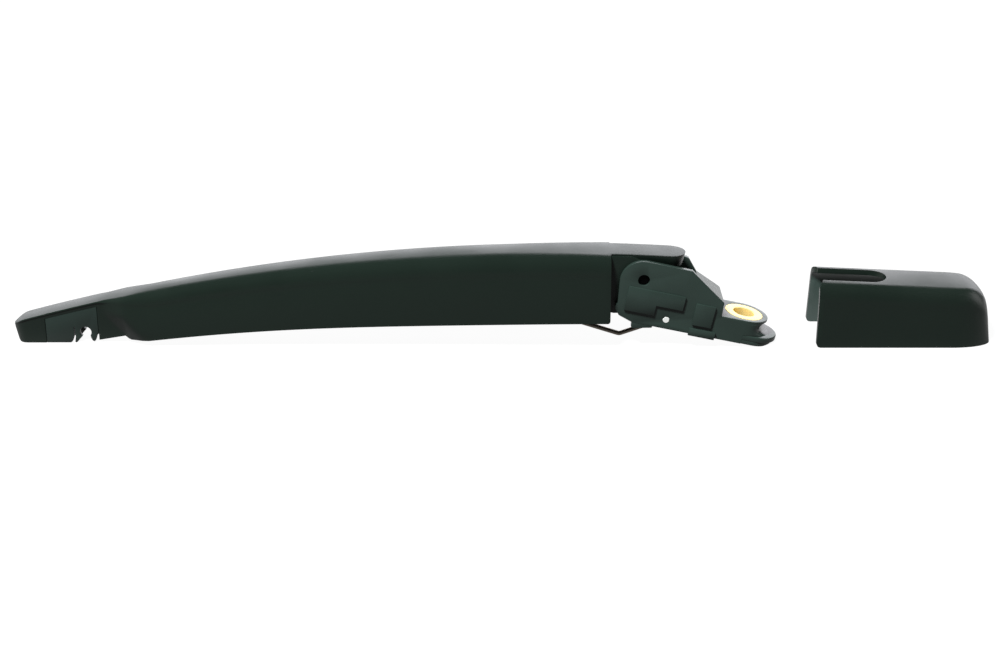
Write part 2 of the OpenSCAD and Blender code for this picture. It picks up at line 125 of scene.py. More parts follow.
class WiperSpringSizes(bpy.types.PropertyGroup):
    coil: length("Coil", 0.0104, "Outside diameter of the coil")
    wire: length("Spring wire", 0.0016, "Thickness of the coil's wire")
    turns: bpy.props.IntProperty(name="Turns", description="Number of turns", default=29, min=4)
    hook_wire: length("Hook wire", 0.0019, "Thickness of the hook's wire")


class WiperCapSizes(bpy.types.PropertyGroup):
    span: length("Length", CAP_HIGH.x - CAP_LOW.x, "Length of the cap")
    height: length("Height", 0.0272, "Height at the open end")
    width: length("Width", 0.0304, "Width at the rim")
    wall: length("Wall", 0.0021, "Thickness of the cap's wall")
    slot: length("Slot", 0.0296, "Length of the slot in the top")
    slot_width: length("Slot width", 0.0138, "Width of the slot in the top")


class WiperFinishes(bpy.types.PropertyGroup):
    plastic: tint("Plastic", "#101814", "Beam and cap")
    # The cap's inside is the same black nylon as the beam: this much lighter colour is painted light,
    # standing in for the light that falls into the cap
    core: tint("Core side, painted lighter", "#36433f", "Inside of the cap")
    clip: tint("Clip", "#1b2421", "Clip in the tip")
    casting: tint("Casting", "#212c28", "Head")
    brass: tint("Brass", "#ecd58c", "Spindle bush")
    bright: tint("Bright steel", "#eef0ed", "Pin ends")
    dark: tint("Dark steel", "#2f2d2a", "Spring")
    wire: tint("Wire", "#857d72", "Hook wire")
    black: tint("Black steel", "#0d0d0d", "Hinge pin")
    floor: tint("Floor", "#3c3c3c", "Studio floor")


# Shapes


def sizes(group):
    """The lengths of a property group in millimetres, and its other values as they are."""
    values = {}
    for prop in group.bl_rna.properties:
        if prop.identifier in {"rna_type", "name"}:
            continue
        value = getattr(group, prop.identifier)
        values[prop.identifier] = value * MM if getattr(prop, "unit", "") == "LENGTH" else value
    return SimpleNamespace(**values)


def clamp(value, low=0.0, high=1.0):
    return min(high, max(low, value))


def mix(a, b, share):
    return a + (b - a) * clamp(share)


def smooth(share):
    share = clamp(share)
    return share * share * (3 - 2 * share)


def of_kind(geometry, kind):
    """The vertices, edges or faces in what a bmesh operator gives back."""
    return [g for g in geometry if isinstance(g, kind)]


def rounding(depth, radius):
    """How far a rounded edge stands back at a depth from where it starts."""
    return radius - math.sqrt(max(0, radius ** 2 - (radius - min(depth, radius)) ** 2))


def arc(cx, cz, radius, start, end, steps):
    """Points of an arc in a side view, angles in degrees."""
    turn = [math.radians(start + (end - start) * i / steps) for i in range(steps + 1)]
    return [(cx + radius * math.cos(a), cz + radius * math.sin(a)) for a in turn]


def rounded(corners, segments=4):
    """An outline with some corners rounded; each corner is (x, z) or (x, z, radius)."""
    outline = []
    count = len(corners)
    for i, corner in enumerate(corners):
        point = Vector(corner[:2])
        if len(corner) < 3:
            outline.append(tuple(point))
            continue
        before = (Vector(corners[i - 1][:2]) - point).normalized()
        after = (Vector(corners[(i + 1) % count][:2]) - point).normalized()
        half = before.angle(after) / 2
        middle = point + (before + after).normalized() * corner[2] / math.sin(half)
        first = point + before * corner[2] / math.tan(half) - middle
        last = point + after * corner[2] / math.tan(half) - middle
        turn = first.angle_signed(last)
        for k in range(segments + 1):
            a = -turn * k / segments
            outline.append((
                middle.x + first.x * math.cos(a) - first.y * math.sin(a),
                middle.y + first.x * math.sin(a) + first.y * math.cos(a),
            ))
    return outline


def face_out(bm, near=None):
    """Turns all faces outwards, after corners nearer to each other than near have become one."""
    if near:
        bmesh.ops.remove_doubles(bm, verts=bm.verts[:], dist=near)
    bmesh.ops.recalc_face_normals(bm, faces=bm.faces[:])


def soften(bm, width, degrees=32, segments=2, where=None):
    """Rounds the sharp edges, as a mould or a deburring tool leaves them."""
    limit = math.radians(degrees)
    sharp = [e for e in bm.edges if len(e.link_faces) == 2 and e.calc_face_angle(0) > limit]
    bmesh.ops.bevel(
        bm, geom=[e for e in sharp if where is None or where(e)], offset=width, offset_type="OFFSET",
        affect="EDGES", segments=segments, profile=0.5, material=-1, clamp_overlap=True, loop_slide=True,
    )


def plate(outline, y0, y1, holes=(), edge=0.25, where=None):
    """A flat plate from a side view, between two places across the arm, with round holes (x, z, radius)."""
    bm = bmesh.new()
    for ring in [outline] + [arc(*hole, 0, 360 - 360 / 40, 39) for hole in holes]:
        verts = [bm.verts.new((x, y0, z)) for x, z in ring]
        for a, b in zip(verts, verts[1:] + verts[:1]):
            bm.edges.new((a, b))
    bmesh.ops.triangle_fill(bm, use_beauty=True, edges=bm.edges[:])
    grown = bmesh.ops.extrude_face_region(bm, geom=bm.faces[:], use_keep_orig=True)["geom"]
    bmesh.ops.translate(bm, verts=of_kind(grown, bmesh.types.BMVert), vec=(0, y1 - y0, 0))
    face_out(bm)
    if edge:
        soften(bm, edge, where=where)
    return bm


def cut_away(bm, place, outward):
    """Cuts off what lies past a plane and closes the cut."""
    cut = bmesh.ops.bisect_plane(
        bm, geom=bm.verts[:] + bm.edges[:] + bm.faces[:], dist=1e-4, clear_outer=True,
        plane_co=place, plane_no=outward,
    )["geom_cut"]
    bmesh.ops.holes_fill(bm, edges=of_kind(cut, bmesh.types.BMEdge), sides=0)
    face_out(bm)
    return bm


def turned(profile, steps=64):
    """A solid turned about z from a closed profile of (radius, z) points."""
    bm = bmesh.new()
    verts = [bm.verts.new((r, 0, z)) for r, z in profile]
    edges = [bm.edges.new(pair) for pair in zip(verts, verts[1:] + verts[:1])]
    bmesh.ops.spin(
        bm, geom=verts + edges, cent=(0, 0, 0), axis=(0, 0, 1), angle=math.tau, steps=steps, use_merge=True
    )
    face_out(bm, near=1e-4)
    return bm


def rod(radius, span, chamfer):
    """A round pin along y with chamfered ends."""
    half = span / 2
    bm = turned([(0, -half), (radius - chamfer, -half), (radius, chamfer - half),
                 (radius, half - chamfer), (radius - chamfer, half), (0, half)], 40)
    bmesh.ops.rotate(bm, verts=bm.verts[:], cent=(0, 0, 0), matrix=Matrix.Rotation(math.pi / 2, 3, "X"))
    return bm


def upright(points):
    """Points of a side view as points in space, on the arm's middle plane."""
    return [(x, 0, z) for x, z in points]


def swept_wire(path, radius, sides=12):
    """A round wire pushed along a line of points, with domed ends."""
    bm = bmesh.new()
    ring = bmesh.ops.create_circle(bm, cap_ends=False, segments=sides, radius=radius)["verts"]
    heading = Vector((0, 0, 1))
    here = Vector((0, 0, 0))
    edges = list({e for v in ring for e in v.link_edges})
    for i, point in enumerate(path):
        point = Vector(point)
        ahead = (Vector(path[min(i + 1, len(path) - 1)]) - Vector(path[max(i - 1, 0)])).normalized()
        if i:
            grown = bmesh.ops.extrude_edge_only(bm, edges=edges)["geom"]
            ring = of_kind(grown, bmesh.types.BMVert)
            inside = set(ring)
            edges = [e for e in of_kind(grown, bmesh.types.BMEdge) if set(e.verts) <= inside]
        turn = heading.rotation_difference(ahead).to_matrix()
        bmesh.ops.rotate(bm, verts=ring, cent=here, matrix=turn)
        bmesh.ops.translate(bm, verts=ring, vec=point - here)
        heading, here = ahead, point
    bmesh.ops.holes_fill(bm, edges=[e for e in bm.edges if e.is_boundary], sides=sides)
    for end in [f for f in bm.faces if len(f.verts) == sides]:
        bmesh.ops.inset_region(bm, faces=[end], thickness=radius * 0.45, depth=radius * 0.35)
    face_out(bm)
    return bm


def draped(across, along, place):
    """A grid skin whose corners place(column, row) puts in space; the corners keep their numbers."""
    bm = bmesh.new()
    columns, rows = (bm.verts.layers.int.new(key) for key in ("column", "row"))
    bmesh.ops.create_grid(bm, x_segments=along, y_segments=across, size=1)
    for v in bm.verts:
        v[columns] = round((v.co.y + 1) / 2 * across)
        v[rows] = round((v.co.x + 1) / 2 * along)
        v.co = place(v[columns], v[rows])
    return bm, columns, rows


def both_sides(half):
    """Columns (kind, value, sign) from the near rim over the top to the far rim, from those of one half."""
    return [(kind, value, -1) for kind, value in half] + [(kind, value, 1) for kind, value in half[-2::-1]]


def corner_point(wide, roof, across, down, degrees):
    """Place across and height on the rounding between a side and the top."""
    a = math.radians(degrees)
    return wide - across * (1 - math.cos(a)), roof - down * (1 - math.sin(a))


def lined(bm, inner, edge, inside=0):
    """Gives an outer skin its wall: a second skin at inner(corner), walls along the rims, soft rims."""
    grown = bmesh.ops.extrude_face_region(bm, geom=bm.faces[:], use_keep_orig=True)["geom"]
    for face in of_kind(grown, bmesh.types.BMFace):
        face.material_index = inside
    for v in of_kind(grown, bmesh.types.BMVert):
        v.co = inner(v)
    face_out(bm, near=MERGE)
    soften(bm, edge, degrees=55)


def joined(shapes):
    """One mesh of several shapes, which are freed."""
    whole = bmesh.new()
    for shape in shapes:
        mesh = bpy.data.meshes.new("part")
        shape.to_mesh(mesh)
        shape.free()
        whole.from_mesh(mesh)
        bpy.data.meshes.remove(mesh)
    return whole


def linked(name, data):
    """A new object of some data, in the scene."""
    obj = bpy.data.objects.new(name, data)
    bpy.context.scene.collection.objects.link(obj)
    return obj


def solid(name, bm, material):
    """A new object of a shape, which is freed."""
    mesh = bpy.data.meshes.new(name)
    bm.to_mesh(mesh)
    bm.free()
    mesh.materials.append(material)
    return linked(name, mesh)


def piece(name, bm, body, material, replaced, origin=HINGE, turn=None, crease=38):
    """Finishes a shape that was made in millimetres around an origin, and lets it ride on its body."""
    place = Matrix.Translation(origin)
    if turn is not None:
        place = place @ turn
    bmesh.ops.transform(bm, matrix=place @ Matrix.Diagonal((1 / MM, 1 / MM, 1 / MM, 1)), verts=bm.verts[:])
    for edge in bm.edges:
        edge.smooth = not (len(edge.link_faces) == 2 and edge.calc_face_angle(0) > math.radians(crease))
    for face in bm.faces:
        face.smooth = True
    obj = solid(name, bm, material)
    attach(obj, body)
    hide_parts(replaced)
    return obj


# Finishes

WAVES = 20  # rings that the wave pattern draws at a scale of 1


def hex_colour(text):
    """An sRGB hex value as linear light."""
    channels = [int(text[i:i + 2], 16) / 255 for i in (1, 3, 5)]
    linear = [c / 12.92 if c <= 0.04045 else ((c + 0.055) / 1.055) ** 2.4 for c in channels]
    return (*linear, 1.0)


def node(tree, kind, inputs=None, **settings):
    """Adds a node with its settings; an input gets a value, or a link from another node's socket."""
    made = tree.nodes.new(kind)
    for key, value in settings.items():
        setattr(made, key, value)
    for key, value in (inputs or {}).items():
        if isinstance(value, bpy.types.NodeSocket):
            tree.links.new(value, made.inputs[key])
        else:
            made.inputs[key].default_value = value
    return made


def blank(name):
    material = bpy.data.materials.new(name)
    material.use_nodes = True
    material.node_tree.nodes.clear()
    return material, material.node_tree


def wandering(tree, colour, low, high, share):
    """A colour that wanders between two shares of its own lightness."""
    base = hex_colour(colour)[:3]
    dim, light = ((*(min(1, c * level) for c in base), 1) for level in (low, high))
    mixed = node(tree, "ShaderNodeMix", {"Factor": share, "A": dim, "B": light}, data_type="RGBA")
    return mixed.outputs["Result"]


def surface(tree, colour, roughness, height, strength, depth, **own):
    """The shader of every solid finish: colour, sheen and a relief of a given depth in millimetres."""
    bump = node(tree, "ShaderNodeBump", {"Height": height, "Strength": strength, "Distance": depth / MM})
    shader = node(tree, "ShaderNodeBsdfPrincipled", {
        "Base Color": colour, "Roughness": roughness, "Normal": bump.outputs["Normal"], **own,
    })
    node(tree, "ShaderNodeOutputMaterial", {"Surface": shader.outputs["BSDF"]})


def black_skin(name, colour, patch, rough, spread, grain, relief, index):
    """Black with softer and glossier patches over a fine relief.

    patch and grain are a size in millimetres and a detail, relief is a strength and a depth.
    """
    material, tree = blank(name)
    place = node(tree, "ShaderNodeTexCoord").outputs["Object"]
    cloud, fine = (
        node(tree, "ShaderNodeTexNoise", {"Vector": place, "Scale": MM / size, "Detail": detail}).outputs[0]
        for size, detail in (patch, grain)
    )
    sheen = node(tree, "ShaderNodeMapRange", {
        "Value": cloud, "From Min": 0.3, "From Max": 0.7, "To Min": rough[0], "To Max": rough[1],
    })
    surface(tree, wandering(tree, colour, *spread, cloud), sheen.outputs["Result"], fine, *relief, IOR=index)
    return material


def moulded_black(name, colour, grain=0.45, rough=(0.36, 0.5), relief=0.05):
    """Glass-filled nylon, moulded black with a fine spark-eroded grain: a soft, slightly broken sheen."""
    return black_skin(name, colour, (28, 4.0), rough, (0.86, 1.14), (grain, 3.0), (0.5, relief), 1.53)


def coated_casting(name, colour):
    """Die-cast zinc under a thin black dip coat: glossier than the plastic, with faint flow marks."""
    return black_skin(name, colour, (9, 5.0), (0.24, 0.36), (0.85, 1.2), (0.8, 2.0), (0.35, 0.03), 1.55)


def metal(name, colour, rough, grain, centre=None, bare=0.8):
    """Metal, partly dulled by oxide, so that it takes light as well as mirroring it.

    With a centre, fine turning rings run around it, as a lathe leaves them; otherwise it is specked.
    """
    material, tree = blank(name)
    place = node(tree, "ShaderNodeTexCoord").outputs["Object"]
    if centre is None:
        relief = node(tree, "ShaderNodeTexNoise", {"Vector": place, "Scale": MM / grain, "Detail": 3.0})
    else:
        moved = node(tree, "ShaderNodeVectorMath", {0: place, 1: centre}, operation="SUBTRACT")
        relief = node(
            tree, "ShaderNodeTexWave",
            {"Vector": moved.outputs["Vector"], "Scale": MM / grain / WAVES, "Distortion": 0.4},
            wave_type="RINGS", rings_direction="SPHERICAL",
        )
    patches = node(tree, "ShaderNodeTexNoise", {"Vector": place, "Scale": MM / 4, "Detail": 3.0}).outputs[0]
    sheen = node(tree, "ShaderNodeMapRange", {
        "Value": patches, "To Min": rough * 0.8, "To Max": rough * 1.25,
    })
    surface(tree, wandering(tree, colour, 0.9, 1.08, patches), sheen.outputs["Result"], relief.outputs["Fac"],
            0.25, 0.02, Metallic=bare)
    return material


BEAM_FINISH = "Nylon, moulded black grain"
# Core side of the cap's mould: a finer grain and a smoother sheen, and a lighter colour that is painted light
# on the same black nylon
CORE_SIDE_PAINTED_LIGHT_FINISH = "Nylon, moulded black, core side, painted lighter"


def finish(key):
    """The named finish, made once."""
    found = bpy.data.materials.get(key)
    if found:
        return found
    tints = bpy.context.scene.wiper_finishes
    bush = HINGE + head_turn() @ Vector((bpy.context.scene.wiper_head.spindle, 0, PLATFORM / MM))
    makers = {
        BEAM_FINISH: lambda: moulded_black(key, tints.plastic),
        CORE_SIDE_PAINTED_LIGHT_FINISH: lambda: moulded_black(key, tints.core, grain=1.5, rough=(0.3, 0.36)),
        "Acetal, moulded black": lambda: moulded_black(
            key, tints.clip, grain=0.7, rough=(0.3, 0.4), relief=0.02),
        "Zinc casting, black dip coat": lambda: coated_casting(key, tints.casting),
        "Brass, turned": lambda: metal(key, tints.brass, 0.32, 0.25, bush, bare=0.6),
        "Steel, bright turned": lambda: metal(key, tints.bright, 0.22, 0.3, bare=0.4),
        "Spring steel, phosphated": lambda: metal(key, tints.dark, 0.42, 0.3),
        "Steel wire, drawn": lambda: metal(key, tints.wire, 0.4, 0.3),
        "Steel, black oxide": lambda: metal(key, tints.black, 0.6, 0.3),
    }
    return makers[key]()


# The arm's curves, in millimetres from the hinge pin


def head_turn():
    return Matrix.Rotation(bpy.context.scene.wiper_head.tilt, 3, "Y")


class BeamCurves:
    """Side view, plan and section of the moulded beam."""

    SHELL_END = -13.5  # end of the side walls
    TOP_APEX = -36.6  # highest place of the top
    RIM_APEX = -28.6  # highest place of the body's rim
    BODY_RIM = 1.7  # rim above the floor where the body begins
    NECK_RIM = 1.25  # rim above the floor behind the clip
    NECK = 11  # run of the neck behind the clip
    STEP = 2.6  # run of the rim's step from the neck down to the body
    LEDGE = 0.35  # how far the tip's side lies in under the lip
    LIP = 2.4  # depth of the lip over the clip
    LIP_WALL = 1.6
    CROWN = 0.3  # rise of the top between its corners
    EDGE = 0.5  # rounding of the tip's top edge
    TIP_RUN, TIP_FALL = 6, 1.7  # rounding of the top at the very tip

    def __init__(self):
        s = self.s = sizes(bpy.context.scene.wiper_beam)
        self.floor = -HINGE.z * MM
        fall = s.rise - (s.nose_height + self.floor)
        run = s.reach + self.TOP_APEX
        self.radius = (run * run + fall * fall) / (2 * fall)
        self.pocket_0 = s.clip_start - s.reach
        self.pocket_1 = self.pocket_0 + s.clip_length
        self.neck_1 = self.pocket_1 + self.NECK
        self.body_0 = self.neck_1 + self.STEP
        self.bend = (-s.drop - self.floor - self.BODY_RIM) / (self.body_0 - self.RIM_APEX) ** 2

    def top(self, x):
        line = self.s.rise - self.radius + math.sqrt(self.radius ** 2 - (x - self.TOP_APEX) ** 2)
        return line - self.TIP_FALL * (1 - clamp((x + self.s.reach) / self.TIP_RUN)) ** 2.4

    def body_share(self, x):
        return (x - self.body_0) / (self.SHELL_END - self.body_0)

    def body_rim(self, x):
        share = clamp(self.body_share(x))
        sway = 0.5 * math.sin(math.tau * share) - 0.15 * math.sin(math.pi * share)
        return -self.s.drop - self.bend * (x - self.RIM_APEX) ** 2 + sway

    def neck_rim(self, x):
        return self.floor + self.NECK_RIM + (x - self.pocket_1) * 0.17

    def rim(self, x):
        if x < self.pocket_1:
            return self.floor + 1.5 * (1 - clamp((x + self.s.reach) / 2.5)) ** 2
        if x < self.neck_1:
            return self.neck_rim(x)
        if x < self.body_0:
            share = (x - self.neck_1) / self.STEP
            return mix(self.neck_rim(self.neck_1), self.body_rim(self.body_0), 1 - (1 - share) ** 1.8)
        return self.body_rim(x)

    def diagonal(self, u):
        """The slanting line on the side where the narrow neck starts to widen into the body."""
        return self.neck_1 - 9 * clamp(u * 1.4)

    def half(self, x, u):
        """Half the width at a share u of the side's height."""
        nose = self.s.nose_width / 2
        if x < self.pocket_1:
            return nose * math.sqrt(max(0.0, 1 - (1 - clamp((x + self.s.reach) / nose)) ** 2))
        lean = 0.4 * u + 1.6 * u * u
        wide = mix(self.s.body_width, self.s.width, self.body_share(x)) / 2 - lean
        return mix(nose, wide, smooth((x - self.diagonal(u)) / self.NECK))

    def corner(self, x, wall=0.0):
        """The rounding between side and top: its reach across and its reach down."""
        if x < self.pocket_1:
            return self.EDGE, self.EDGE
        share = (x - self.pocket_1) / 22
        across = mix(self.EDGE, self.half(x, 1) * 0.6, share)
        across = mix(across, 5.0, 1 + (x - self.SHELL_END) / 40)
        down = mix(mix(self.EDGE, 6.0, share), 8.4, (x - self.body_0) / 150)
        return max(0.3, across - wall), max(0.3, down - wall)


def beam_skin(curves):
    """The beam with its tongue, as one grid from the near rim to the far rim, and its wall."""
    s = curves.s
    end = curves.SHELL_END
    tongue = s.tongue_width / 2
    tongue_wall = 2.0
    fillet, rim_round = 0.6, 1.1
    flat_end = curves.half(end, 1) - curves.corner(end)[0]
    tongue_share = tongue / flat_end
    lip_share = 0.8
    side = [0, 0.008, 0.02, 0.04, 0.065, 0.12, 0.2, 0.3, 0.4, 0.5, 0.6, 0.7, lip_share, 0.9, 1.0]
    half = [("side", u) for u in side] + [("ledge", 1.0)]
    half += [("bend", 11.25 * k) for k in range(1, 9)]
    half += [("flat", mix(1, tongue_share, k / 3)) for k in range(1, 4)]
    half += [("flat", tongue_share * (1 - k / 7)) for k in range(1, 8)]
    columns = both_sides(half)

    nose = s.nose_width / 2
    tip = [nose * (1 - math.cos(math.radians(9 * k))) - s.reach for k in range(0, 11)]
    rows = [("x", x) for x in tip] + [("x", mix(tip[-1], curves.pocket_0, k / 4)) for k in range(1, 5)]
    clip_row_0 = len(rows) - 1
    rows += [("x", mix(curves.pocket_0, curves.pocket_1, k / 14)) for k in range(1, 15)]
    clip_row_1 = len(rows) - 1
    rows += [("neck", k / 7) for k in range(1, 8)]
    rows += [("step", k / 16) for k in range(1, 17)]
    rows += [("body", k / 66) for k in range(1, 67)]
    body_row = len(rows) - 1
    rows += [("tongue", k / 10) for k in range(1, 11)]
    rows += [("round", 9 * k) for k in range(1, 11)]
    step_end = curves.body_0 + 5
    tongue_0 = end + fillet
    tongue_c = end + s.tongue_length - tongue

    def height(x, u, wall=0.0):
        """Height of a side's point; over the clip the lip keeps one depth below the top."""
        low = curves.rim(x)
        down = curves.corner(x, wall)[1]
        high = curves.top(x) - curves.CROWN - wall - down
        even = low + u * (high - low)
        lip = curves.top(x) - curves.LIP
        above = (u - lip_share) / (1 - lip_share)
        held = mix(low, lip, u / lip_share) if u <= lip_share else mix(lip, high, above)
        return mix(held, even, (x - curves.pocket_1) / 4)

    def open_end(kind, value):
        """Where the side wall stops: rounded at the rim, with a fillet beside the tongue."""
        if kind == "side":
            up = value * (height(end, 1) - height(end, 0))
            return end - rounding(up, rim_round)
        if kind == "flat":
            away = value * flat_end - tongue
            if away <= fillet:
                return end + rounding(max(away, 0), fillet)
        return end

    def place(column, row, wall=0.0):
        kind, value, sign = columns[column]
        stage, share = rows[row]
        u = value if kind == "side" else 1.0
        x = share
        if stage == "neck":
            x = mix(curves.pocket_1, curves.diagonal(u), share)
        elif stage == "step":
            x = mix(curves.diagonal(u), step_end, share)
        elif stage == "body":
            x = mix(step_end, open_end(kind, value), share)
        if wall and stage == "x":
            tip_0 = wall - s.reach
            x = max(x, tip_0 + 0.1 * (x - tip_0))
            if clip_row_0 < row < clip_row_1:
                wall = curves.LIP_WALL
        if stage in {"tongue", "round"}:
            turn = math.radians(share if stage == "round" else 0)
            slim = tongue - wall
            x = tongue_c + slim * math.sin(turn) if stage == "round" else mix(tongue_0, tongue_c, share)
            across = value / tongue_share * slim * math.cos(turn)
            return Vector((x, sign * across, curves.top(x) - wall - curves.CROWN * (across / flat_end) ** 2))
        wide = curves.half(x, 1) - wall
        across_r, down_r = curves.corner(x, wall)
        across_r = max(0.0, min(across_r, wide * 0.8))
        roof = curves.top(x) - curves.CROWN - wall
        inset = curves.LEDGE * clamp(wide / nose * 2) * clamp((curves.diagonal(u) + 3 - x) / 3)
        rake = 1.1 * (1 - u) * clamp(1 - (x + s.reach) / 10)
        if kind == "side":
            out = max(0, curves.half(x, value) - wall - inset)
            return Vector((x + rake, sign * out, height(x, value, wall)))
        if kind == "ledge":
            return Vector((x, sign * max(0, wide), height(x, 1, wall) + 0.02))
        if kind == "bend":
            out, z = corner_point(wide, roof, across_r, down_r, value)
            return Vector((x, sign * max(0, out), z))
        across = value * max(0, wide - across_r)
        return Vector((x, sign * across, roof + curves.CROWN * (1 - value ** 2)))

    bm, column_of, row_of = draped(len(columns) - 1, len(rows) - 1, place)
    doomed = []
    for face in bm.faces:
        row = min(v[row_of] for v in face.verts)
        kinds = [columns[v[column_of]] for v in face.verts]
        beside = row >= body_row and any(k != "flat" or value > tongue_share + 1e-6 for k, value, _ in kinds)
        pocket = clip_row_0 <= row < clip_row_1 and all(
            k == "side" and value <= lip_share for k, value, _ in kinds)
        if beside or pocket:
            doomed.append(face)
    bmesh.ops.delete(bm, geom=doomed, context="FACES")
    bmesh.ops.remove_doubles(bm, verts=bm.verts[:], dist=MERGE)
    skirt_of = bm.verts.layers.int.new("skirt")

    edge = [e for e in bm.edges if e.is_boundary and all(v[row_of] >= body_row for v in e.verts)
            and all(columns[v[column_of]][0] == "flat" for v in e.verts)
            and all(v.co.x > tongue_0 - 0.01 for v in e.verts)]
    grown = bmesh.ops.extrude_edge_only(bm, edges=edge)["geom"]

    def skirt(v, wall=0.0):
        """The tongue's side: shallow at the walls, deep and drawn in at the round end."""
        spot = place(v[column_of], v[row_of], wall)
        along = clamp((spot.x - end) / s.tongue_length)
        inward = Vector((max(0.0, spot.x - tongue_c), spot.y, 0)).normalized()
        return spot - inward * (0.3 + 0.9 * along) - Vector((0, 0, 2.6 + 2.4 * along - wall))

    def inner(v):
        return skirt(v, tongue_wall) if v[skirt_of] else place(v[column_of], v[row_of], s.wall)

    for v in of_kind(grown, bmesh.types.BMVert):
        v[skirt_of] = 1
        v.co = skirt(v)
    lined(bm, inner, 0.22)
    return bm


# Operators, one for each piece or group of like pieces


class WIPER_OT_beam(bpy.types.Operator):
    """Moulded beam with its tongue, hinge lugs and anchor ribs"""

    bl_idname = "wiper.beam"
    bl_label = "Beam"

    LUG_ROUND = 6.6
    LUG_IN, LUG_GAP = 5.2, 0.4  # inner face of a lug, and its clearance inside the head's wall

    def execute(self, context):
        curves = BeamCurves()
        s = curves.s
        head = sizes(context.scene.wiper_head)
        outer = head.width / 2 - head.wall - self.LUG_GAP
        under_roof = s.rise - 1.4  # inside the roof's wall, like the ribs' ends
        lug = arc(0, 0, self.LUG_ROUND, -15, 85, 16)
        lug += [(-5, under_roof), (-34, under_roof), (-34, -7), (-30, -11.5), (-12, -15.4), (-5.5, -15.4)]
        lug += arc(0, 0, self.LUG_ROUND, -105, -30, 8)
        eye = (0, 0, head.hinge_pin / 2 + CLEAR)
        anchor = (ANCHOR - HINGE) * MM
        roof = curves.top(anchor.x) - 2.4 - anchor.z
        rib = [(-5.6, roof), (-3.4, -3.4), (3.4, -3.4), (5.6, roof)]
        rib = [(x + anchor.x, z + anchor.z) for x, z in rib]
        hole = (anchor.x, anchor.z, ANCHOR_R + CLEAR)
        shapes = [beam_skin(curves)]
        for side in (-1, 1):
            shapes.append(plate(lug, side * self.LUG_IN, side * outer, [eye]))
            shapes.append(plate(rib, side * 5.6, side * 7.4, [hole], edge=0.15))
        piece("arm_beam", joined(shapes), "arm", finish(BEAM_FINISH), "arm_shell")
        return {"FINISHED"}


class WIPER_OT_clip(bpy.types.Operator):
    """Clip in the tip with a round notch and two sprung fingers"""

    bl_idname = "wiper.clip"
    bl_label = "Blade clip"

    GAP = 0.2  # clearance to the arm before and behind the clip
    SEAT = 0.06  # clearance under the arm's top
    NOTCH = (-5.5, 4.65)
    CHEEK = 2.6  # inner face of the two outer plates, which carry the fingers

    def execute(self, context):
        """All places are in millimetres from the clip's rear end and from the floor."""
        curves = BeamCurves()
        s = curves.s
        end, low = curves.pocket_1, curves.floor
        front, rear = self.GAP - s.clip_length, -self.GAP

        def top(drop):
            places = (rear, -s.clip_length / 2, front)
            return [(x, curves.top(end + x) - drop - self.SEAT - low) for x in places]

        cheek = [(front, 0), (-11.9, 0), (-11.2, 0.55), (-10.4, 2.9), (-10.2, 7), (-9.85, 7),
                 (-9.75, 2.6), (-10.15, 0.3), (-9.7, 0), (-9.2, 0.3), (-6.9, 2.9)]
        cheek += arc(*self.NOTCH, s.blade_pin / 2, 226, -38, 18)
        cheek += [(-3.4, 2.2), (-2.9, 0.95), (-2.3, 0.55), (-1.6, 0.9), (-1.2, 2.1), (-0.75, 3.4),
                  (rear, 3.9)]
        cheek += top(curves.LIP)
        core = [(front, 0.4), (8 - s.clip_length, 0.4), (8 - s.clip_length, 7.6), (rear, 7.6)]
        core += top(curves.LIP_WALL + curves.CROWN)
        cheek, core = ([(x + end, z + low) for x, z in outline] for outline in (cheek, core))
        outer = s.nose_width / 2 - curves.LEDGE - 0.03
        shapes = [plate(cheek, side * self.CHEEK, side * outer, edge=0.12) for side in (-1, 1)]
        shapes.append(plate(core, -self.CHEEK - 0.05, self.CHEEK + 0.05, edge=0.12))
        piece("pin_clip", joined(shapes), "arm", finish("Acetal, moulded black"),
              "blade_clip")
        return {"FINISHED"}


